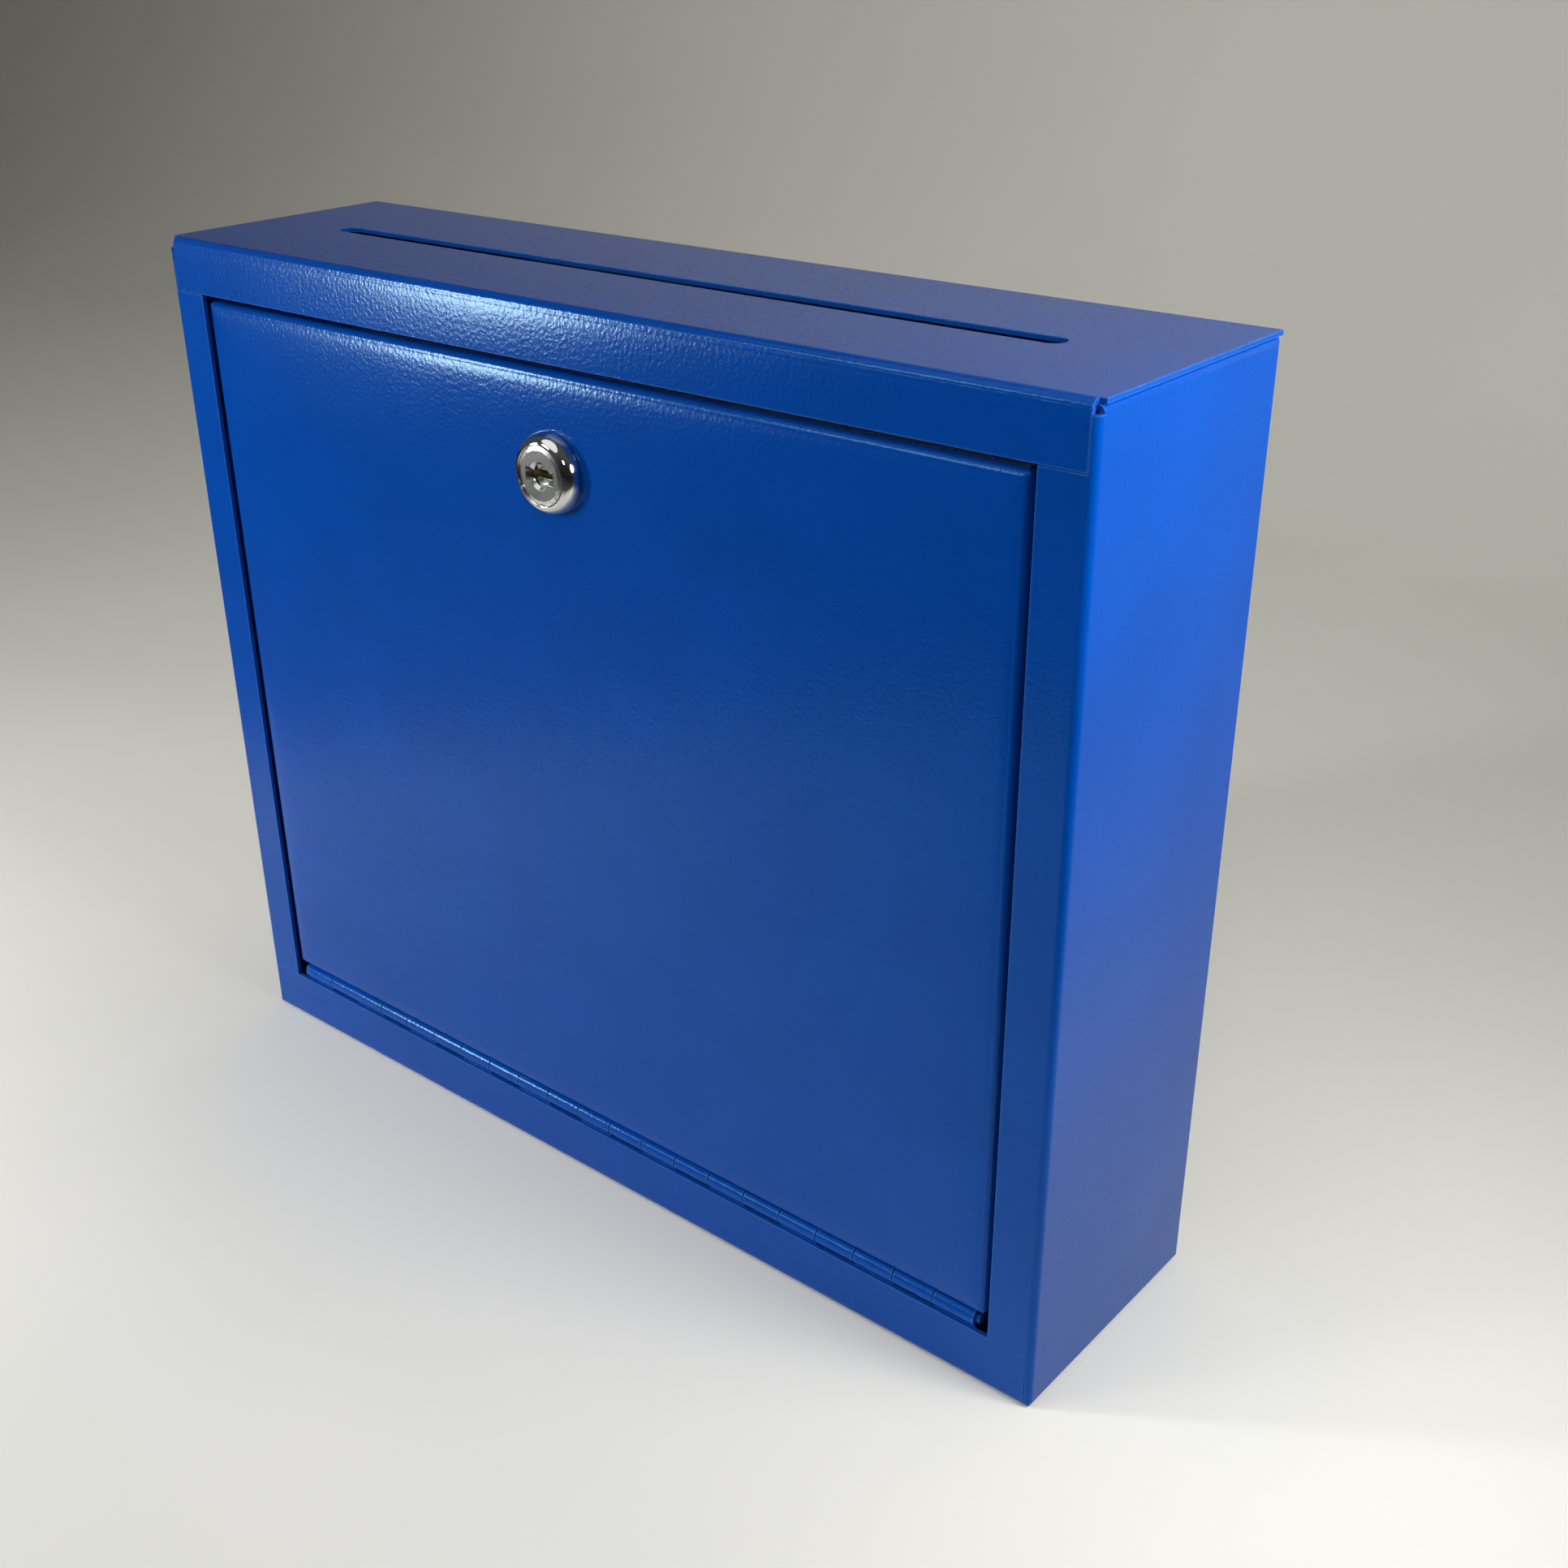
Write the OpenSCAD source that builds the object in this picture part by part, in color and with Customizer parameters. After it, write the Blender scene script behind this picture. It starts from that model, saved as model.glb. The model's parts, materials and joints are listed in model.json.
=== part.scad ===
// Wall or counter donation box in folded sheet steel, with a drop-down door on a
// continuous hinge and a quarter-turn cam lock.
// Frame: +X to the right of a person facing the door, the door faces -Y, +Z up.
// The origin is the centre of the underside. Sizes are in millimetres.

/* [Case] */
// Outside width of the case
box_w = 302; // [298:1:400]
// Outside depth of the case, without the lock
box_d = 76; // [64:1:140]
// Outside height of the case
box_h = 254; // [200:1:360]
// Thickness of the case and door sheet
sheet = 1.2; // [1:0.1:1.5]
// Outside radius of every sheet bend
bend_r = 2; // [1.8:0.1:2.4]
// Width of the stile on each side of the door
stile_w = 13.2; // [12:0.1:16]
// Height of the rail below the door
rail_h = 16; // [15:0.1:20]
// Height of the header above the door
header_h = 14.6; // [13:0.1:20]

/* [Deposit slot] */
// Length of the slot in the top, over its round ends
slot_l = 240; // [120:1:250]
// Width of the slot
slot_w = 6.4; // [5:0.1:10]

/* [Door] */
// Gap between the door and each stile
door_side_gap = 1.5; // [1.2:0.1:3]
// Gap between the door and the header
door_top_gap = 1.7; // [1.5:0.1:3]
// Depth of the door's folded edges
door_flange = 7; // [6:0.1:8]

/* [Hinge] */
// Number of knuckles, an odd number
knuckle_count = 21; // [11:2:21]
// Length of one knuckle with its share of the gaps
knuckle_pitch = 12.7; // [11:0.1:12.7]
// Outside radius of the knuckles
knuckle_r = 2.4; // [2.2:0.05:2.5]
// Thickness of the hinge leaves
leaf_t = 0.9; // [0.7:0.1:1]

/* [Lock] */
// Distance from the top of the case down to the lock's axis
lock_drop = 41; // [38:1:46]
// Outside radius of the domed bezel
bezel_r = 10.3; // [10.2:0.1:13]
// How far the bezel stands out of the door
bezel_h = 4.4; // [4:0.1:6]
// Radius of the threaded barrel
barrel_r = 9; // [8.9:0.1:9.5]
// Length of the barrel behind the door's face
barrel_len = 16; // [15:0.5:18]
// Reach of the cam from the lock's axis to its tip
cam_reach = 34; // [33:0.5:36]

/* [Wall holes] */
// Distance between the wall holes across the back
wall_hole_dx = 200; // [120:1:240]
// Distance between the wall holes up the back
wall_hole_dz = 140; // [80:1:160]
// Radius of each wall hole
wall_hole_r = 3.25; // [2.5:0.05:4]

/* [Hidden] */
$fn = 64;

over = 1;                              // how far a cutter runs past the face it cuts
paint = "royalblue";
steel = "silver";

// Case
front_y = -box_d / 2;
back_y = box_d / 2;
seam = 0.1;                            // gap at a welded seam between two sheets
lip_w = bend_r - seam;                 // strip of the side's bend left beside a rail's end
rail_end = box_w / 2 - lip_w;          // half length of the rail and of the header
flange_w = 13;                         // width of the hidden welding flanges
opening_x = box_w / 2 - stile_w;       // half width of the door opening
header_z = box_h - header_h;           // lower edge of the header
under_cover = box_h - sheet;           // underside of the top cover's plate
lip_drop = 3;                          // relief above the bend strip beside the header
groove_w = 0.25;                       // weld seams that the paint has not filled
groove_d = 0.3;
rail_seam_h = 10;                      // height of the open seam at each end of the rail

// Hinge and door
hinge_gap = 0.3;                       // clearance between the barrel and what it passes
hinge_y = front_y + knuckle_r + 0.1;
hinge_z = rail_h + knuckle_r + 0.2;
bore_r = knuckle_r - leaf_t;
pin_r = bore_r - 0.07;                 // running fit in the knuckles
hinge_len = knuckle_count * knuckle_pitch;
knuckle_len = knuckle_pitch - hinge_gap;
pin_end = 1.2;                         // length of pin standing out of each end
door_x = opening_x - door_side_gap;    // half width of the door
door_z = hinge_z + knuckle_r + hinge_gap;
door_top = header_z - door_top_gap;
door_h = door_top - door_z;
door_back_y = front_y + door_flange;   // back edges of the door's folded sides
case_leaf_h = 12;                      // height of the leaf behind the rail
door_leaf_d = 8;                       // depth of the leaf under the door

// Stops and strike
stop_z = header_z - 40;                // lower end of the two door stops
stop_h = 15;
stop_leg = 16;
strike_w = 60;
strike_leg = header_h - 4;

// Lock, along its axis
lock_z = box_h - lock_drop;
barrel_flat = barrel_r - 1.5;          // half width across the barrel's two flats
barrel_back = front_y + barrel_len;
crown_w = 2.8;                         // width of the bezel's rounded crown
face_r = bezel_r - crown_w;            // radius of the bezel's opening
face_t = 1.5;                          // thickness of the plug's face
face_slope_w = 1.5;                    // sloping margin round the face
face_slope_h = 0.35;
turn_gap = 0.07;                       // running fit between plug and housing
fit_gap = 0.1;                         // clearance of parts that are slipped over each other
plug_r = 6.3;
plug_front = front_y - bezel_h + 0.1;
shank_w = 7;                           // square end of the plug that turns the cam
washer_t = 0.8;
washer_r = 12;
washer_teeth = 16;
tooth_l = 1.2;                         // how far each tooth of the washer reaches in
tooth_w = 1.2;
nut_t = 4;
nut_af = 22;                           // size across the nut's flats
nut_y = front_y + sheet + washer_t;
stop_washer_t = 1.2;
stop_r = barrel_flat - 0.6;            // inside radius of the quarter-turn stop
stop_washer_y = barrel_back + 0.1;
cam_t = 2;
cam_w = 13;
cam_hub_r = 7.5;
cam_y = stop_washer_y + stop_washer_t + 0.1;
cam_front = door_back_y + 0.4;         // front face of the cam's outer end
cam_crank_start = 11;
cam_crank_end = 19;
cam_washer_y = cam_y + cam_t;
screw_r = 2;
screw_head_r = 4;
screw_head_t = 2.6;
screw_taper = 0.8;                     // how much narrower the head is at its top
screw_cross_l = 4.4;                   // cross recess in the head
screw_cross_w = 1;
screw_len = 8;
thread_gap = 0.03;
thread_end = 0.5;                      // hole left free past the screw's end
split_w = 0.4;                         // cut in the spring washer
shank_back = cam_washer_y - 0.2;

// Key hole and wafers
keyway_w = 9.7;
keyway_h = 2;
keyway_depth = 15;
recess_r = 2.8;
recess_depth = 2.2;
chamfer = 0.8;                         // at the mouth of the key hole
wafer_count = 5;
wafer_pitch = 2.2;
wafer_t = 1;
wafer_first_y = plug_front + 4.4;
wafer_gap = 0.1;                       // clearance all round a wafer in its slot
wafer_h = 6;
window_w = 8.4;                        // window in the wafer that the key passes through
lug_w = 1.2;                           // spring lug on top of each wafer
lug_h = 1.4;
lug_x = 2;
pocket_x = -3;                         // closed end of each spring pocket
spring_r = 0.4;                        // to the middle of the spring's wire
spring_wire_r = 0.12;
spring_gap = 0.2;                      // clearance at each end of a spring

// ---- Shapes used more than once ----

// Flat rectangle with round corners, centred
module round_rect(w, h, r) {
    square([w - 2 * r, h], center = true);
    square([w, h - 2 * r], center = true);
    for (x = [-1, 1], y = [-1, 1])
        translate([x * (w / 2 - r), y * (h / 2 - r)]) circle(r);
}

// Box standing on z = 0, centred on X and Y, with all its edges rounded
module round_box(w, d, h, r) {
    intersection() {
        linear_extrude(h) round_rect(w, d, r);
        translate([0, 0, h / 2]) rotate([90, 0, 0])
            linear_extrude(d, center = true) round_rect(w, h, r);
        translate([0, 0, h / 2]) rotate([90, 0, 90])
            linear_extrude(w, center = true) round_rect(d, h, r);
    }
}

// Closed folded box of sheet metal, rounded outside and inside
module sheet_box(w, d, h) {
    difference() {
        round_box(w, d, h, bend_r);
        translate([0, 0, sheet]) round_box(w - 2 * sheet, d - 2 * sheet, h - 2 * sheet, bend_r - sheet);
    }
}

// Corner region from the origin along +X and +Y, its outer corner rounded
module corner_area(a, b, r) {
    translate([r, 0]) square([a - r, b]);
    translate([0, r]) square([a, b - r]);
    translate([r, r]) circle(r);
}

// Section of a sheet bent to an L, its outer corner at the origin
module angle_section(a, b, t, r) {
    difference() {
        corner_area(a, b, r);
        translate([t, t]) corner_area(a, b, r - t);
    }
}

// Block given by its lowest and highest corners
module block(lo, hi) {
    translate(lo) cube(hi - lo);
}

// Runs its children, drawn along +Z, back along +Y from a plane on the lock's axis
module on_lock(y) {
    translate([0, y, lock_z]) rotate([-90, 0, 0]) children();
}

// ---- Case ----

// Sides, floor, stiles and rail, folded from one sheet and open at the top and back
module shell() {
    color(paint) difference() {
        sheet_box(box_w, box_d, under_cover);
        block([-opening_x, front_y - over, rail_h], [opening_x, 0, box_h]);
        block([-rail_end, front_y - over, header_z - seam], [rail_end, front_y + bend_r, box_h]);
        for (s = [-1, 1])
            translate([s * box_w / 2, front_y, box_h - lip_drop + box_h / 2])
                cube([2 * stile_w, 2 * bend_r, box_h], center = true);
        block([-box_w / 2 + flange_w, front_y - over, under_cover - bend_r],
              [box_w / 2 - flange_w, back_y + over, box_h]);
        block([-box_w / 2 + flange_w, 0, flange_w], [box_w / 2 - flange_w, back_y + over, box_h]);
        rail_seams();
    }
}

// Shallow open stretches of the welds between the rail and the stiles
module rail_seams() {
    for (s = [-1, 1]) {
        translate([s * rail_end, front_y, 0])
            cube([groove_w, 2 * groove_d, 2 * rail_seam_h], center = true);
        translate([s * (opening_x + rail_end) / 2, front_y, rail_h])
            cube([rail_end - opening_x, 2 * groove_d, groove_w], center = true);
    }
}

// Back sheet with the wall holes and a flange that is welded under the top
module back_panel() {
    panel_y = back_y - sheet;
    half_w = box_w / 2 - bend_r;
    flange_x = box_w / 2 - flange_w - over;
    color(paint) difference() {
        union() {
            block([-half_w, panel_y - sheet, bend_r], [half_w, panel_y, under_cover - bend_r]);
            translate([-flange_x, panel_y, under_cover]) rotate([0, 90, 0])
                linear_extrude(2 * flange_x) rotate(-90)
                    angle_section(flange_w, 2 * flange_w, sheet, bend_r);
        }
        for (x = [-1, 1], z = [-1, 1])
            translate([x * wall_hole_dx / 2, panel_y, box_h / 2 + z * wall_hole_dz / 2])
                rotate([90, 0, 0]) cylinder(r = wall_hole_r, h = 4 * sheet, center = true);
    }
}

// Top plate with the deposit slot, folded down in front as the header
module top_cover() {
    color(paint) difference() {
        union() {
            block([-box_w / 2, front_y + bend_r, under_cover], [box_w / 2, back_y, box_h]);
            translate([-rail_end, front_y, box_h]) rotate([0, 90, 0])
                linear_extrude(2 * rail_end) angle_section(header_h, 2 * bend_r, sheet, bend_r);
        }
        translate([0, 0, box_h]) linear_extrude(4 * sheet, center = true) {
            square([slot_l - slot_w, slot_w], center = true);
            for (s = [-1, 1]) translate([s * (slot_l - slot_w) / 2, 0]) circle(slot_w / 2);
        }
    }
}

// Two angles welded to the sides that stop the closed door flush with the case
module door_stops() {
    face_y = door_back_y + hinge_gap;
    color(paint) for (s = [0, 1])
        mirror([s, 0, 0]) translate([box_w / 2 - sheet, face_y, stop_z])
            linear_extrude(stop_h) mirror([1, 0]) angle_section(stop_leg + 2, stop_leg, sheet, bend_r);
}

// Angle welded behind the header that the cam bears on
module latch_strike() {
    depth = door_back_y - front_y - sheet;
    color(paint) translate([-strike_w / 2, front_y + sheet, header_z]) rotate([90, 0, 90])
        linear_extrude(strike_w) angle_section(depth, strike_leg, sheet, bend_r);
}

// ---- Hinge ----

// Row of knuckles; first is 0 for the case's row and 1 for the door's
module knuckles(first) {
    for (i = [first : 2 : knuckle_count - 1])
        translate([knuckle_x(i), hinge_y, hinge_z]) rotate([0, 90, 0])
            cylinder(r = knuckle_r, h = knuckle_len);
}

// Left end of knuckle i
function knuckle_x(i) = -hinge_len / 2 + i * knuckle_pitch + hinge_gap / 2;

// Pin hole along the whole hinge
module pin_bore() {
    translate([0, hinge_y, hinge_z]) rotate([0, 90, 0])
        cylinder(r = bore_r, h = hinge_len + 2 * over, center = true);
}

// Leaf behind the rail, with the knuckles at both ends of the hinge
module hinge_case_leaf() {
    leaf_y = front_y + sheet;
    leaf_top = hinge_z - knuckle_r - 2 * hinge_gap;
    color(paint) difference() {
        union() {
            knuckles(0);
            block([-hinge_len / 2, leaf_y, leaf_top - case_leaf_h],
                  [hinge_len / 2, leaf_y + leaf_t, leaf_top]);
            for (i = [0 : 2 : knuckle_count - 1])
                block([knuckle_x(i), leaf_y, leaf_top - over],
                      [knuckle_x(i) + knuckle_len, leaf_y + leaf_t, hinge_z - bore_r]);
        }
        pin_bore();
    }
}

// Leaf under the door's lower edge, with the knuckles in between
module hinge_door_leaf() {
    leaf_front = hinge_y + knuckle_r + 2 * hinge_gap;
    color(paint) difference() {
        union() {
            knuckles(1);
            block([-hinge_len / 2, leaf_front, door_z - leaf_t],
                  [hinge_len / 2, leaf_front + door_leaf_d, door_z]);
            for (i = [1 : 2 : knuckle_count - 2])
                block([knuckle_x(i), hinge_y, door_z - leaf_t],
                      [knuckle_x(i) + knuckle_len, leaf_front + over, door_z]);
        }
        pin_bore();
    }
}

module hinge_pin() {
    color(steel) translate([0, hinge_y, hinge_z]) rotate([0, 90, 0])
        cylinder(r = pin_r, h = hinge_len + 2 * pin_end, center = true);
}

// ---- Door ----

// Door sheet with all four edges folded back, and the lock's hole with two flats
module door_panel() {
    color(paint) difference() {
        translate([0, door_back_y, door_z]) sheet_box(2 * door_x, 2 * door_flange, door_h);
        block([-door_x - over, door_back_y, door_z - over], [door_x + over, 0, door_top + over]);
        on_lock(front_y) linear_extrude(4 * sheet, center = true)
            barrel_section(barrel_r + fit_gap, barrel_flat + fit_gap);
    }
}

// ---- Lock ----

// Circle with a flat on each side
module barrel_section(r, flat) {
    intersection() {
        circle(r);
        square([2 * flat, 2 * r + 2], center = true);
    }
}

// Half section of the bezel: a steep crown, a quarter of an ellipse, up to its opening
module bezel_section() {
    arc_steps = 12;
    polygon(concat([[0, 0]], [for (i = [0 : arc_steps]) let (a = 90 * i / arc_steps)
        [face_r + crown_w * cos(a), bezel_h * sin(a)]], [[0, bezel_h]]));
}

// Bezel and threaded barrel in one casting, with a half-ring stop on its back
module lock_housing() {
    color(steel) difference() {
        union() {
            on_lock(front_y) rotate([180, 0, 0]) rotate_extrude() bezel_section();
            on_lock(front_y - 0.5) linear_extrude(barrel_len + 0.5) barrel_section(barrel_r, barrel_flat);
            on_lock(barrel_back) linear_extrude(stop_washer_t) intersection() {
                barrel_section(barrel_r, barrel_flat);
                translate([-barrel_r, 0]) square([2 * barrel_r, barrel_r]);
            }
        }
        on_lock(front_y - bezel_h - over) cylinder(r = plug_r + turn_gap, h = bezel_h + barrel_len + over);
        on_lock(front_y - bezel_h - over) cylinder(r = face_r, h = face_t + over + fit_gap);
        on_lock(barrel_back) cylinder(r = stop_r + fit_gap, h = 2 * stop_washer_t);
    }
}

// Toothed washer that grips the inside of the door
module lock_washer() {
    inner_r = barrel_r + fit_gap;
    color(steel) on_lock(front_y + sheet) linear_extrude(washer_t) difference() {
        circle(washer_r);
        circle(inner_r);
        for (i = [0 : washer_teeth - 1]) rotate(i * 360 / washer_teeth)
            translate([inner_r, 0]) square([2 * tooth_l, tooth_w], center = true);
    }
}

module lock_nut() {
    color(steel) on_lock(nut_y) linear_extrude(nut_t) difference() {
        circle(nut_af / 2 / cos(30), $fn = 6);
        circle(barrel_r + fit_gap);
    }
}

// Keyed cylinder: flat face, key hole, wafer slots and the square end for the cam
module lock_plug() {
    plug_face_r = face_r - turn_gap;
    mouth_h = keyway_h / 2 + chamfer;
    color(steel) difference() {
        union() {
            on_lock(plug_front) cylinder(r1 = plug_face_r - face_slope_w, r2 = plug_face_r, h = face_slope_h);
            on_lock(plug_front + face_slope_h) cylinder(r = plug_face_r, h = face_t - face_slope_h);
            on_lock(plug_front) cylinder(r = plug_r, h = barrel_back - plug_front);
            on_lock(barrel_back - over) translate([-shank_w / 2, -shank_w / 2, 0])
                cube([shank_w, shank_w, shank_back - barrel_back + over]);
        }
        on_lock(plug_front - over) cylinder(r = recess_r, h = recess_depth + over);
        on_lock(plug_front) cylinder(r1 = recess_r + chamfer, r2 = recess_r, h = chamfer);
        on_lock(plug_front - over) translate([-keyway_w / 2, -keyway_h / 2, 0])
            cube([keyway_w, keyway_h, keyway_depth + over]);
        on_lock(plug_front) rotate([90, 0, 90]) linear_extrude(keyway_w, center = true)
            polygon([[-mouth_h, -over], [mouth_h, -over], [mouth_h, 0], [keyway_h / 2, chamfer],
                     [-keyway_h / 2, chamfer], [-mouth_h, 0]]);
        for (i = [0 : wafer_count - 1]) wafer_room(i);
        on_lock(shank_back - screw_len) cylinder(r = screw_r, h = screw_len + over);
    }
}

// Slot for wafer i with the pocket for its spring above
module wafer_room(i) {
    half_t = wafer_t / 2 + wafer_gap;
    half_h = wafer_h / 2 + wafer_gap;
    translate([0, wafer_y(i), lock_z]) {
        block([-plug_r - over, -half_t, -half_h], [plug_r + over, half_t, half_h]);
        block([pocket_x, -half_t, 0], [lug_x + 1.5 * lug_w, half_t, half_h + lug_h + wafer_gap]);
    }
}

// Middle of wafer i along the plug
function wafer_y(i) = wafer_first_y + i * wafer_pitch;

// Wafers that a key lines up: round ends, a window for the key and a spring lug
module lock_wafers() {
    color("goldenrod") for (i = [0 : wafer_count - 1])
        translate([0, wafer_y(i) + wafer_t / 2, lock_z]) rotate([90, 0, 0])
            linear_extrude(wafer_t) difference() {
                intersection() {
                    circle(plug_r - wafer_gap);
                    union() {
                        square([2 * plug_r, wafer_h], center = true);
                        translate([lug_x, 0]) square([lug_w, wafer_h / 2 + lug_h]);
                    }
                }
                square([window_w, keyway_h + 4 * wafer_gap], center = true);
            }
}

// Small coil spring beside each wafer's lug
module wafer_springs() {
    spring_z = (wafer_h + lug_h) / 2 + wafer_gap;
    color(steel) for (i = [0 : wafer_count - 1])
        translate([pocket_x + spring_gap, wafer_y(i), lock_z + spring_z]) rotate([0, 90, 0])
            coil(spring_r, spring_wire_r, lug_x - pocket_x - 2 * spring_gap);
}

// Closed coil along +Z, drawn as a sleeve with a rib for each turn
module coil(r, wire_r, length) {
    turn_pitch = 2 * wire_r;
    turns = floor(length / turn_pitch);
    rotate_extrude() {
        translate([r - wire_r, 0]) square([wire_r, turns * turn_pitch]);
        for (i = [0 : turns - 1])
            translate([r, i * turn_pitch]) polygon([[0, 0], [wire_r, wire_r], [0, turn_pitch]]);
    }
}

// Washer on the plug's square end; its quarter ring stops the turn after 90 degrees
module stop_washer() {
    color(steel) on_lock(stop_washer_y) linear_extrude(stop_washer_t) difference() {
        union() {
            circle(stop_r);
            intersection() {
                circle(barrel_r);
                translate([fit_gap, -barrel_r - fit_gap]) square(barrel_r);
            }
        }
        square(shank_w + fit_gap, center = true);
    }
}

// Flat cam, cranked forward to reach behind the header; it points along +X when open
module cam() {
    color(steel) difference() {
        intersection() {
            translate([0, 0, lock_z - cam_hub_r]) linear_extrude(2 * cam_hub_r) cam_profile();
            on_lock(front_y) linear_extrude(box_d) cam_outline();
        }
        on_lock(cam_y) linear_extrude(4 * cam_t, center = true) square(shank_w + fit_gap, center = true);
    }
}

// The cam seen along its edge, from the hub through the crank to the tip
module cam_profile() {
    slant = cam_t / 2;
    polygon([
        [-cam_hub_r, cam_y], [cam_crank_start, cam_y], [cam_crank_end, cam_front], [cam_reach, cam_front],
        [cam_reach, cam_front + cam_t], [cam_crank_end + slant, cam_front + cam_t],
        [cam_crank_start + slant, cam_y + cam_t], [-cam_hub_r, cam_y + cam_t]
    ]);
}

// The cam seen along the lock's axis: round hub, straight bar, rounded tip
module cam_outline() {
    tip_r = cam_w / 2;
    circle(cam_hub_r);
    translate([0, -cam_w / 2]) square([cam_reach - tip_r, cam_w]);
    translate([cam_reach - tip_r, 0]) circle(tip_r);
}

// Split spring washer under the screw's head
module cam_washer() {
    color(steel) on_lock(cam_washer_y) linear_extrude(washer_t) difference() {
        circle(screw_head_r - 2 * fit_gap);
        circle(screw_r + fit_gap);
        translate([0, -split_w / 2]) square([screw_head_r, split_w]);
    }
}

// Pan-head screw with a cross recess, up the plug's square end
module cam_screw() {
    head_y = cam_washer_y + washer_t;
    color(steel) difference() {
        union() {
            on_lock(shank_back - screw_len + thread_end)
                cylinder(r = screw_r - thread_gap, h = head_y - shank_back + screw_len);
            on_lock(head_y) cylinder(r1 = screw_head_r, r2 = screw_head_r - screw_taper, h = screw_head_t);
        }
        for (turn = [0, 90]) on_lock(head_y + screw_head_t / 2) rotate(turn)
            translate([-screw_cross_l / 2, -screw_cross_w / 2, 0])
                cube([screw_cross_l, screw_cross_w, screw_head_t]);
    }
}

shell();
back_panel();
top_cover();
door_stops();
latch_strike();
hinge_case_leaf();
hinge_pin();
door_panel();
hinge_door_leaf();
lock_housing();
lock_washer();
lock_nut();
lock_plug();
lock_wafers();
wafer_springs();
stop_washer();
cam();
cam_washer();
cam_screw();
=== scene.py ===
"""Looks of the wall or counter donation box: camera, light, materials and finished surfaces.

Everything is in metres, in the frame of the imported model: +X right, the door faces -Y, +Z up.
"""

import json
import math

import bmesh
import bpy
from mathutils import Matrix, Vector

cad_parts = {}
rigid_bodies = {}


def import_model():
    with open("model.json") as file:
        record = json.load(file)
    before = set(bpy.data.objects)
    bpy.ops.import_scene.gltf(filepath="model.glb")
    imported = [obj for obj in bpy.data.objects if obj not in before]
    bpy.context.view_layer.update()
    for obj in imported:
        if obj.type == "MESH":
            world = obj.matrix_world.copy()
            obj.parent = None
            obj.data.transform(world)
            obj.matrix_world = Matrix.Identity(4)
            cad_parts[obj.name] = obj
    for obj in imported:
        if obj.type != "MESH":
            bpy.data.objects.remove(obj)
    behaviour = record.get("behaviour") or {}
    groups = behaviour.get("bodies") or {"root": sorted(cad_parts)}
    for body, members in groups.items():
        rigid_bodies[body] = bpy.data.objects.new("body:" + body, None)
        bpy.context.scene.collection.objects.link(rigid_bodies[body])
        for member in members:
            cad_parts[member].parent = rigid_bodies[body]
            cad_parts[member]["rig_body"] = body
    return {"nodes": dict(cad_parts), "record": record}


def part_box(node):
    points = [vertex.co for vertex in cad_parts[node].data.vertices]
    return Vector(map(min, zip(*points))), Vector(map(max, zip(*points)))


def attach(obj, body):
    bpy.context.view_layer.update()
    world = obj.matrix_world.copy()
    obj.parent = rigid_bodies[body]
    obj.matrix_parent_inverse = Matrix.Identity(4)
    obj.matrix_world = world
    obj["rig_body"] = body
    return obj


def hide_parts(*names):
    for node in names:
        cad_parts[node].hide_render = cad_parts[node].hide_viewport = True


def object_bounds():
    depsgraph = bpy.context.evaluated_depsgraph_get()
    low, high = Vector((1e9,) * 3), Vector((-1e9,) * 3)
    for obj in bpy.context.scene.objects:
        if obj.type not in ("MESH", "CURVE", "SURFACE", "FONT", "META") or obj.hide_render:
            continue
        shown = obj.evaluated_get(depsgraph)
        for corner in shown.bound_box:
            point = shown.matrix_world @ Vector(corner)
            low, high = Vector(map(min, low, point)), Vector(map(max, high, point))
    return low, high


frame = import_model()
cad_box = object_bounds()
low, high = cad_box
centre = (low + high) / 2
mm = 0.001

# ---- Camera ----

CAMERA_AZIMUTH = math.radians(40.72)      # to the right of straight ahead of the door
CAMERA_ELEVATION = math.radians(26.99)
CAMERA_ROLL = math.radians(0.91)
CAMERA_DISTANCE = 0.530
CAMERA_AIM = centre + Vector((21.1, 10.4, -22.4)) * mm
CAMERA_LENS = 43.27
CAMERA_SHIFT = (0.0244, 0.0256)


def add_camera():
    """Camera at the photo's place, as the perspective of the case's edges gives it."""
    cos_e = math.cos(CAMERA_ELEVATION)
    forward = Vector((-math.sin(CAMERA_AZIMUTH) * cos_e, math.cos(CAMERA_AZIMUTH) * cos_e,
                      -math.sin(CAMERA_ELEVATION)))
    right = Vector((math.cos(CAMERA_AZIMUTH), math.sin(CAMERA_AZIMUTH), 0))
    up = right.cross(forward)
    rolled_right = math.cos(CAMERA_ROLL) * right - math.sin(CAMERA_ROLL) * up
    rolled_up = math.sin(CAMERA_ROLL) * right + math.cos(CAMERA_ROLL) * up
    data = bpy.data.cameras.new("camera")
    data.sensor_width = 36
    data.lens = CAMERA_LENS
    data.shift_x, data.shift_y = CAMERA_SHIFT
    data.clip_start, data.clip_end = 0.01, 100
    camera = bpy.data.objects.new("camera", data)
    axes = Matrix((rolled_right, rolled_up, -forward)).transposed().to_4x4()
    camera.matrix_world = Matrix.Translation(CAMERA_AIM - CAMERA_DISTANCE * forward) @ axes
    bpy.context.scene.collection.objects.link(camera)
    bpy.context.scene.camera = camera


# ---- Nodes ----

# The Mix node's sockets for colours; those for numbers have the same names
MIX_FIRST, MIX_SECOND, MIX_RESULT = 6, 7, 2


def node(tree, kind, **values):
    """Adds a node and sets its inputs, or else its own settings."""
    made = tree.nodes.new(kind)
    for key, value in values.items():
        if key in made.inputs:
            made.inputs[key].default_value = value
        else:
            setattr(made, key, value)
    return made


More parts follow.
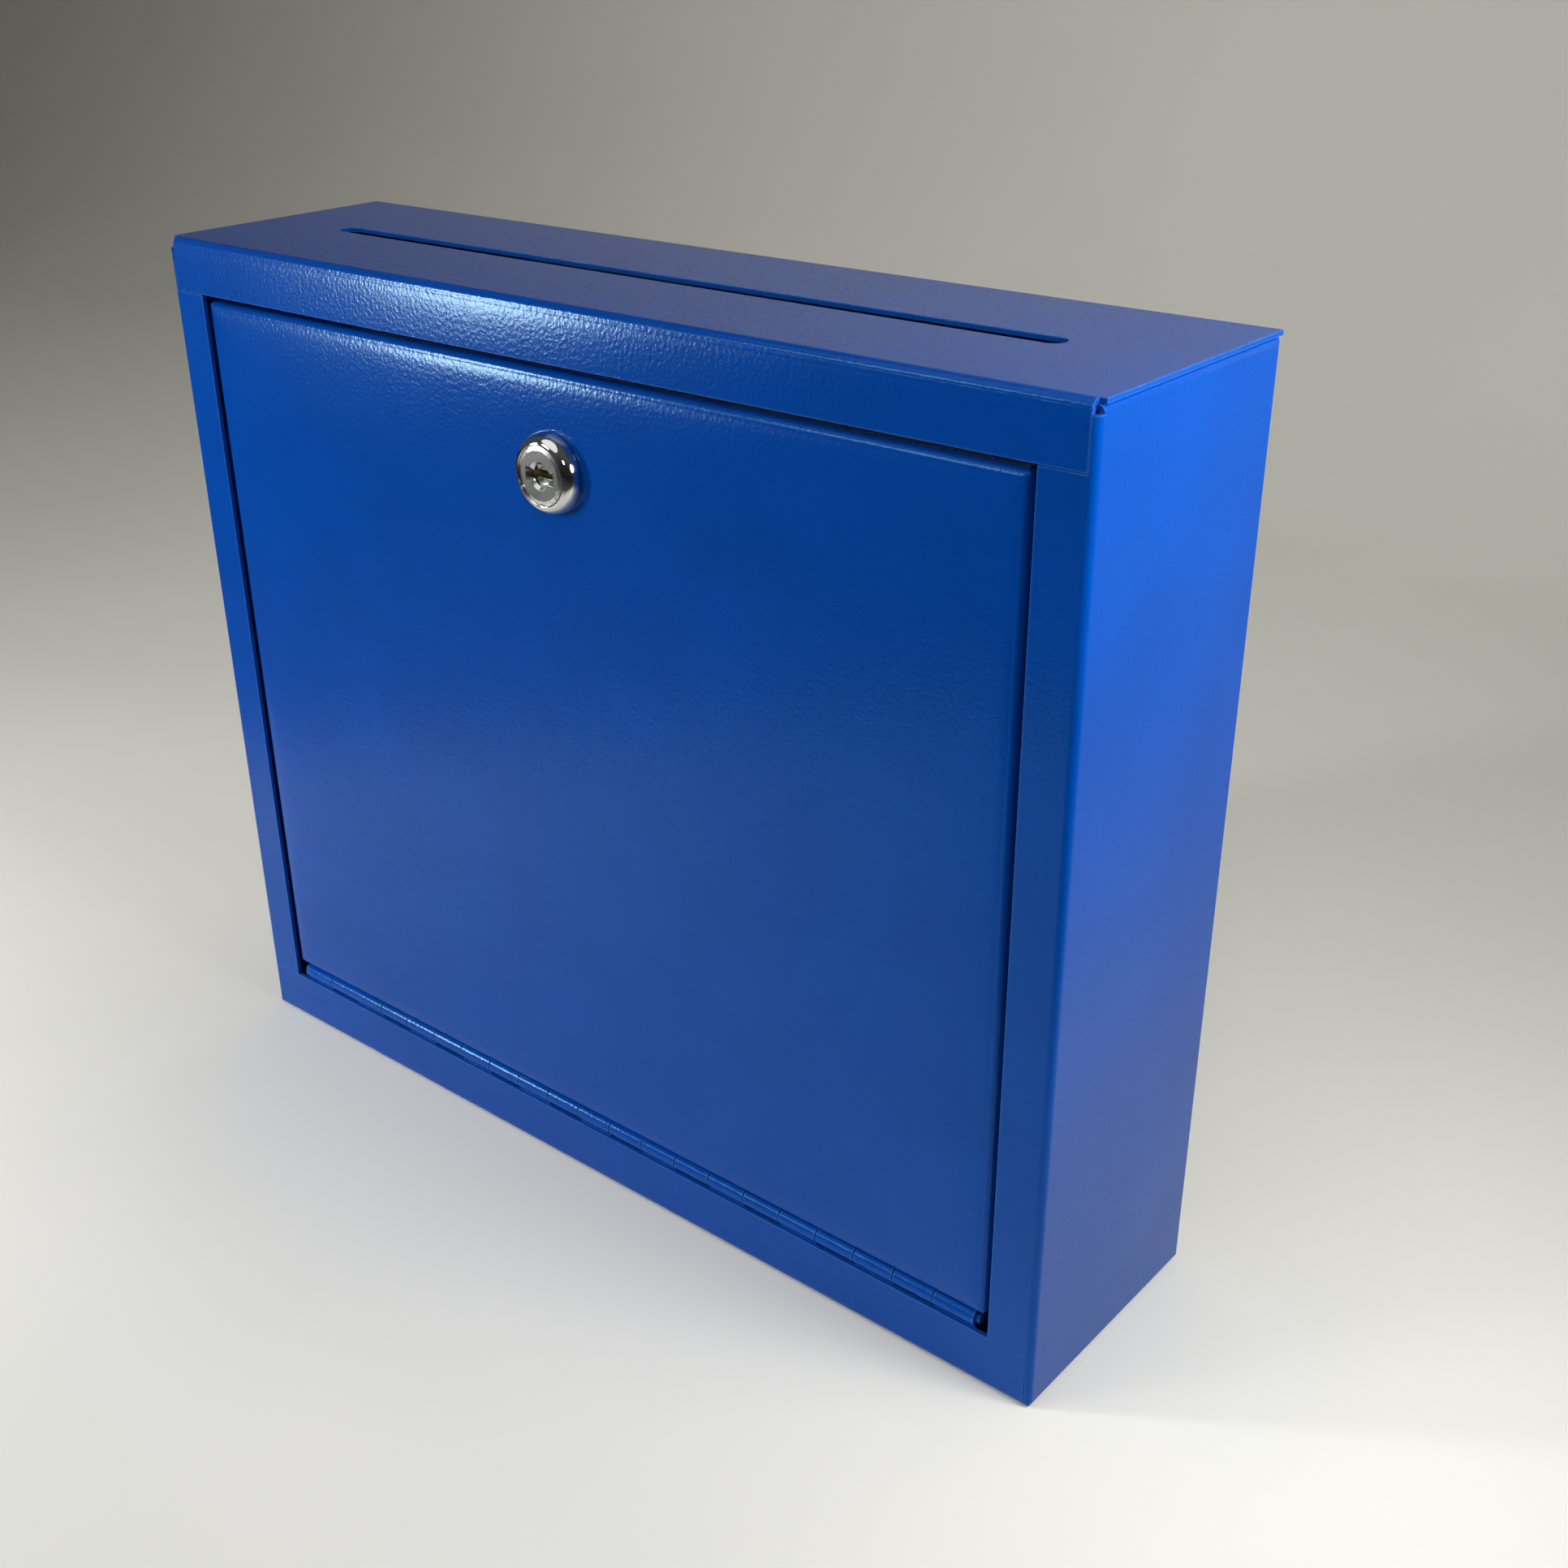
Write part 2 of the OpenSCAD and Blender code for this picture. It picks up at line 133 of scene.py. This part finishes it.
def noise(tree, scale, **values):
    """Level of a noise that is fixed to the object, with its scale in cells a metre."""
    made = node(tree, "ShaderNodeTexNoise", Scale=scale, **values)
    place = node(tree, "ShaderNodeTexCoord").outputs["Object"]
    tree.links.new(place, made.inputs["Vector"])
    return made.outputs["Fac"]


def reach(tree, place, direction):
    """How far a place lies in a direction."""
    made = node(tree, "ShaderNodeVectorMath", operation="DOT_PRODUCT")
    tree.links.new(place, made.inputs[0])
    made.inputs[1].default_value = direction
    return made.outputs["Value"]


def ramp(tree, level, ends, shades):
    """Colour that runs from one shade to the other while the level runs from end to end."""
    made = node(tree, "ShaderNodeValToRGB")
    tree.links.new(level, made.inputs["Fac"])
    for stop, position, shade in zip(made.color_ramp.elements, ends, shades):
        stop.position = position
        stop.color = (*shade, 1)
    return made.outputs["Color"]


def mix(tree, share, colour, shade):
    """A colour output with a share of a fixed shade mixed in."""
    made = node(tree, "ShaderNodeMix", data_type="RGBA")
    tree.links.new(share, made.inputs["Factor"])
    tree.links.new(colour, made.inputs[MIX_FIRST])
    made.inputs[MIX_SECOND].default_value = (*shade, 1)
    return made.outputs[MIX_RESULT]


def new_material(name):
    """Node material; returns it with its node tree and its shader."""
    material = bpy.data.materials.new(name)
    material.use_nodes = True
    return material, material.node_tree, material.node_tree.nodes["Principled BSDF"]


# ---- Light ----

LEFT_LAMP_AZIMUTH = -46                   # degrees, as in the table of lamps
# Azimuth (0 in front of the door, positive to the right) and elevation in degrees, distance from the
# box's centre, width and height in metres, power in watts
LAMPS = {
    "left_lamp": (LEFT_LAMP_AZIMUTH, 12, 0.62, (0.07, 0.22), 1.8),
    "left_far_lamp": (-30, 25, 1.20, (0.30, 0.30), 1.8),
    "key_lamp": (42, 35, 0.62, (0.10, 0.10), 0.25),
    "right_lamp": (88, 28, 0.38, (0.14, 0.14), 0.72),
    "right_back_lamp": (100, 28, 0.38, (0.14, 0.14), 0.25),
    "front_fill": (-20, 60, 0.95, (0.80, 0.80), 1.7),
    "back_fill": (155, 30, 0.80, (0.40, 0.40), 0.15),
}
WALL_Y = 0.95                             # behind the box, clear of a camera that looks at its back
# Place, the point it is turned to, width and height, power of the lamps that light the wall
WALL_LAMPS = {
    "wall_lamp": ((0.10, 0.35, 1.10), (0.0, WALL_Y, 0.45), (1.2, 0.2), 1.3),
    "wall_left_lamp": ((-0.40, 0.20, 1.40), (-0.8, WALL_Y, 1.0), (0.8, 0.2), 1.2),
}

# The room's light is dim, and darker towards the camera, where the chrome and the door mirror it
ROOM_SHADES = ((0.08, 0.08, 0.08), (0.02, 0.02, 0.02))
ROOM_FADE = (0.5, 0.8)                    # how far towards the camera the fade starts and ends
ROOM_TILT = -0.3                          # the dark goes further down than up


def level_direction(azimuth):
    """Level direction at an azimuth in radians, 0 in front of the door and positive to the right."""
    return math.sin(azimuth), -math.cos(azimuth), 0


TOWARDS_CAMERA = level_direction(CAMERA_AZIMUTH)
TOWARDS_LEFT_LAMP = level_direction(math.radians(LEFT_LAMP_AZIMUTH))


def add_lamp(name, place, aim, size, power):
    """Soft oval lamp at a place, turned towards a point."""
    data = bpy.data.lights.new(name, "AREA")
    data.shape = "ELLIPSE"
    data.size, data.size_y = size
    data.energy = power
    lamp = bpy.data.objects.new(name, data)
    turn = (place - aim).to_track_quat("Z", "Y").to_matrix().to_4x4()
    lamp.matrix_world = Matrix.Translation(place) @ turn
    lamp.visible_camera = False
    bpy.context.scene.collection.objects.link(lamp)


def add_lights():
    """Soft lamps round the box, and two more for the wall behind it."""
    for name, (azimuth, elevation, distance, size, power) in LAMPS.items():
        a, e = math.radians(azimuth), math.radians(elevation)
        direction = Vector((math.sin(a) * math.cos(e), -math.cos(a) * math.cos(e), math.sin(e)))
        add_lamp(name, centre + distance * direction, centre, size, power)
    for name, (place, aim, size, power) in WALL_LAMPS.items():
        add_lamp(name, Vector(place), Vector(aim), size, power)


def add_room():
    """Dim light from all round, and plain tones in the picture."""
    world = bpy.data.worlds.new("room")
    world.use_nodes = True
    tree = world.node_tree
    direction = node(tree, "ShaderNodeTexCoord").outputs["Generated"]
    level = reach(tree, direction, (*TOWARDS_CAMERA[:2], ROOM_TILT))
    tree.links.new(ramp(tree, level, ROOM_FADE, ROOM_SHADES), tree.nodes["Background"].inputs["Color"])
    bpy.context.scene.world = world
    bpy.context.scene.view_settings.view_transform = "Standard"


# ---- Floor ----

COVE_REACH = 4.0                          # the floor runs this far to the front and the sides
COVE_RADIUS = 0.35
COVE_HEIGHT = 2.0
COVE_STEPS = 16

PAPER_SHADES = ((0.88, 0.87, 0.79), (0.91, 0.89, 0.81))
PAPER_CLOUDS = 6.0                        # noise cells a metre
# Painted shade on the floor in front of the box, for the unlit room there: direction, and where the dark
# starts and is full, in metres
PAINTED_SHADE_EDGES = ((TOWARDS_CAMERA, 0.22, 0.36), (TOWARDS_LEFT_LAMP, 0.27, 0.42))
PAINTED_SHADE_FRONT = ((0, -1, 0), -0.05, 0.10)    # the floor behind this is pale right out to the sides
# colour of the painted shade, which stands in for the unlit room in front of the box
PAINTED_SHADE_FLOOR = (0.09, 0.09, 0.09)


def fade_past(tree, direction, start, end):
    """0 up to the start and 1 from the end on, both measured in a direction from the origin."""
    place = node(tree, "ShaderNodeTexCoord").outputs["Object"]
    fade = node(tree, "ShaderNodeMapRange", interpolation_type="SMOOTHSTEP")
    tree.links.new(reach(tree, place, direction), fade.inputs["Value"])
    fade.inputs["From Min"].default_value = start
    fade.inputs["From Max"].default_value = end
    return fade.outputs["Result"]


def floor_material():
    """Pale paper, with painted shade in front of the box that stands in for the unlit room the chrome and
    door mirror.
    """
    material, tree, shader = new_material("floor")
    paper = ramp(tree, noise(tree, PAPER_CLOUDS, Detail=5.0), (0.35, 0.65), PAPER_SHADES)
    past_edge = node(tree, "ShaderNodeMath", operation="MAXIMUM")
    for edge, socket in zip(PAINTED_SHADE_EDGES, past_edge.inputs):
        tree.links.new(fade_past(tree, *edge), socket)
    dark = node(tree, "ShaderNodeMath", operation="MULTIPLY")
    tree.links.new(past_edge.outputs["Value"], dark.inputs[0])
    tree.links.new(fade_past(tree, *PAINTED_SHADE_FRONT), dark.inputs[1])
    tree.links.new(mix(tree, dark.outputs["Value"], paper, PAINTED_SHADE_FLOOR), shader.inputs["Base Color"])
    shader.inputs["Roughness"].default_value = 0.8
    return material


def add_floor():
    """Pale floor that sweeps up to a wall well behind the box."""
    turns = [math.pi / 2 * i / COVE_STEPS for i in range(COVE_STEPS + 1)]
    profile = [(-COVE_REACH, low.z)]
    profile += [(WALL_Y - COVE_RADIUS * (1 - math.sin(t)), low.z + COVE_RADIUS * (1 - math.cos(t)))
                for t in turns]
    profile += [(WALL_Y, COVE_HEIGHT)]
    points = [(x, y, z) for y, z in profile for x in (-COVE_REACH, COVE_REACH)]
    faces = [(2 * i, 2 * i + 1, 2 * i + 3, 2 * i + 2) for i in range(len(profile) - 1)]
    mesh = bpy.data.meshes.new("floor")
    mesh.from_pydata(points, [], faces)
    mesh.shade_smooth()
    mesh.materials.append(floor_material())
    floor = bpy.data.objects.new("floor", mesh)
    bpy.context.scene.collection.objects.link(floor)


# ---- Paint ----

PAINT_SHADES = ((0.0, 0.058, 0.35), (0.0, 0.064, 0.39))
PAINT_CLOUDS = 35.0                       # noise cells a metre
# Paler blue along the edges: partly wear, partly a painted highlight of the glints that the paint's edges
# catch
WORN_AND_HIGHLIT_PAINT = (0.06, 0.22, 0.62)
EDGE_MARK_WIDTH = 0.8 * mm
EDGE_MARK_BEND = (0.99, 0.88)                  # cosine of the turn at an edge where the worn and painted-highlight colour starts and is full
EDGE_MARK_BREAKS = 450.0                       # noise cells a metre
ORANGE_PEEL = ((14.0, 0.35 * mm), (900.0, 0.06 * mm), (1900.0, 0.02 * mm))    # cells a metre, depth


def edge_wear_and_highlight(tree):
    """Share of the paler edge colour, partly wear and partly a painted highlight: none on the faces, and
    broken up by a noise along the edges.
    """
    rounded = node(tree, "ShaderNodeBevel", Radius=EDGE_MARK_WIDTH)
    likeness = node(tree, "ShaderNodeVectorMath", operation="DOT_PRODUCT")
    tree.links.new(rounded.outputs["Normal"], likeness.inputs[0])
    tree.links.new(node(tree, "ShaderNodeNewGeometry").outputs["Normal"], likeness.inputs[1])
    edge = node(tree, "ShaderNodeMapRange")
    tree.links.new(likeness.outputs["Value"], edge.inputs["Value"])
    edge.inputs["From Min"].default_value, edge.inputs["From Max"].default_value = EDGE_MARK_BEND
    share = node(tree, "ShaderNodeMath", operation="MULTIPLY")
    tree.links.new(edge.outputs["Result"], share.inputs[0])
    tree.links.new(noise(tree, EDGE_MARK_BREAKS, Detail=3.0), share.inputs[1])
    return share.outputs["Value"]


def orange_peel(tree):
    """Normal of a surface with bumps of several sizes, each on top of the one before."""
    normal = None
    for scale, depth in ORANGE_PEEL:
        bump = node(tree, "ShaderNodeBump", Strength=1.0, Distance=depth)
        tree.links.new(noise(tree, scale, Detail=1.0, Roughness=0.4), bump.inputs["Height"])
        if normal:
            tree.links.new(normal, bump.inputs["Normal"])
        normal = bump.outputs["Normal"]
    return normal


def paint_material():
    """Semi-gloss blue powder coat with orange peel, paler along its edges, partly as wear and partly as a
    painted highlight.
    """
    material, tree, shader = new_material("blue_paint")
    colour = ramp(tree, noise(tree, PAINT_CLOUDS, Detail=2.0), (0.3, 0.7), PAINT_SHADES)
    tree.links.new(mix(tree, edge_wear_and_highlight(tree), colour, WORN_AND_HIGHLIT_PAINT), shader.inputs["Base Color"])
    tree.links.new(orange_peel(tree), shader.inputs["Normal"])
    shader.inputs["Roughness"].default_value = 0.19
    shader.inputs["Specular IOR Level"].default_value = 0.3
    shader.inputs["Specular Tint"].default_value = (0.3, 0.75, 1.0, 1)
    return material


# ---- Metal ----

METAL_PATCH = 4 * mm
# Dull and bright shade, roughness from and to, size and depth of the grain
METALS = {
    "chrome": ((0.62, 0.63, 0.60), (0.68, 0.69, 0.67), (0.03, 0.07), 1.5 * mm, 0.004 * mm),
    "satin_chrome": ((0.60, 0.61, 0.60), (0.66, 0.67, 0.66), (0.2, 0.26), 0.3 * mm, 0.003 * mm),
    "zinc": ((0.46, 0.46, 0.47), (0.58, 0.58, 0.56), (0.25, 0.45), 0.5 * mm, 0.01 * mm),
    "brass": ((0.42, 0.30, 0.12), (0.60, 0.44, 0.20), (0.25, 0.4), 0.3 * mm, 0.008 * mm),
}


def metal_material(name):
    """Bare metal that varies in patches from dull to bright, with a fine grain."""
    dull, bright, roughness, grain_size, grain_depth = METALS[name]
    material, tree, shader = new_material(name)
    shader.inputs["Metallic"].default_value = 1
    patches = noise(tree, 1 / METAL_PATCH, Detail=3.0)
    tree.links.new(ramp(tree, patches, (0.35, 0.65), (dull, bright)), shader.inputs["Base Color"])
    gloss = node(tree, "ShaderNodeMapRange")
    tree.links.new(patches, gloss.inputs["Value"])
    gloss.inputs["To Min"].default_value, gloss.inputs["To Max"].default_value = roughness
    tree.links.new(gloss.outputs["Result"], shader.inputs["Roughness"])
    bump = node(tree, "ShaderNodeBump", Distance=grain_depth)
    tree.links.new(noise(tree, 1 / grain_size, Detail=2.0), bump.inputs["Height"])
    tree.links.new(bump.outputs["Normal"], shader.inputs["Normal"])
    return material


# ---- Finished pieces ----

SHARP = math.radians(30)                  # edges that turn more than this are rounded
EDGE_ROUNDING = 0.2 * mm
FLAT = math.radians(0.5)                  # faces that turn less than this become one
SAME_POINT = 0.001 * mm


def merged_copy(name):
    """The mesh of a CAD node with its split edges joined and its flat faces whole."""
    work = bmesh.new()
    work.from_mesh(frame["nodes"][name].data)
    bmesh.ops.remove_doubles(work, verts=work.verts, dist=SAME_POINT)
    bmesh.ops.dissolve_limit(work, angle_limit=FLAT, verts=work.verts, edges=work.edges)
    return work


def round_edges(work):
    """Rounds the sharp edges, as paint or polishing leaves them."""
    sharp = [e for e in work.edges if len(e.link_faces) == 2 and e.calc_face_angle() > SHARP]
    bmesh.ops.bevel(work, geom=sharp, offset=EDGE_ROUNDING, offset_type="OFFSET", segments=2, profile=0.5,
                    affect="EDGES", clamp_overlap=True)


def cut_across(work, axis, places):
    """Cuts the mesh by planes across X, Y or Z."""
    normal = Vector((0, 0, 0))
    normal[axis] = 1
    for place in places:
        everything = list(work.verts) + list(work.edges) + list(work.faces)
        bmesh.ops.bisect_plane(work, geom=everything, dist=SAME_POINT,
                               plane_co=normal * place, plane_no=normal)


def add_piece(name, work, material):
    """Turns the finished mesh of a CAD node into the piece that stands for it."""
    mesh = bpy.data.meshes.new(name + "_finish")
    work.to_mesh(mesh)
    work.free()
    mesh.shade_smooth()
    mesh.materials.append(material)
    piece = bpy.data.objects.new(name + "_finish", mesh)
    bpy.context.scene.collection.objects.link(piece)
    piece.modifiers.new("normals", "WEIGHTED_NORMAL").keep_sharp = False
    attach(piece, frame["nodes"][name]["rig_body"])
    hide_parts(name)
    return piece


# A folded sheet is not quite flat beside its bends: a wide shallow fall and a short one at the bend itself
BEND = 2.2 * mm                           # the rounding and the sheet behind it
FALLS = ((0.30 * mm, 6 * mm), (0.22 * mm, 1.5 * mm))
# The mesh is cut this far from the sheet's outer edge, closest together where it falls most
SWELL_STEPS = [step * mm for step in (2.2, 2.6, 3.1, 3.7, 4.5, 6.5, 9, 12, 16, 22, 30)]
HEADER_SWELL = 14 * mm                    # the header is too narrow for the steps beyond this


def fall(inward):
    """How far the face lies back at a distance from the sheet's outer edge."""
    return sum(depth * math.exp(-max(inward - BEND, 0) / reach) for depth, reach in FALLS)


def swell_door(work):
    """Lets the door's face fall back a little towards its four bends."""
    door_low, door_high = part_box("door_panel")
    for axis in (0, 2):
        cut_across(work, axis, [door_low[axis] + step for step in SWELL_STEPS])
        cut_across(work, axis, [door_high[axis] - step for step in SWELL_STEPS])
    for vert in work.verts:
        if vert.co.y - door_low.y < BEND:
            vert.co.y += fall(min(vert.co.x - door_low.x, door_high.x - vert.co.x,
                                  vert.co.z - door_low.z, door_high.z - vert.co.z))


def swell_header(work):
    """Does the same to the header below the cover's bend."""
    cover_low, cover_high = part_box("top_cover")
    cut_across(work, 2, [cover_high.z - step for step in SWELL_STEPS if step < HEADER_SWELL])
    for vert in work.verts:
        if vert.co.y - cover_low.y < BEND:
            vert.co.y += fall(cover_high.z - vert.co.z)


add_camera()
add_floor()
add_lights()
add_room()
paint = paint_material()
metals = {name: metal_material(name) for name in METALS}
finishes = {"blue_paint": paint, "chrome": metals["chrome"], "plated_steel": metals["zinc"],
            "brass": metals["brass"]}
own_finish = {"lock_plug": metals["satin_chrome"], "hinge_pin": paint}    # unlike the rest of their slots
swells = {"door_panel": swell_door, "top_cover": swell_header}
for part in frame["record"]["subparts"]:
    name, slot = part["node"], part["material_slot"]
    work = merged_copy(name)
    if name in swells:
        swells[name](work)
    round_edges(work)
    add_piece(name, work, own_finish.get(name, finishes[slot]))
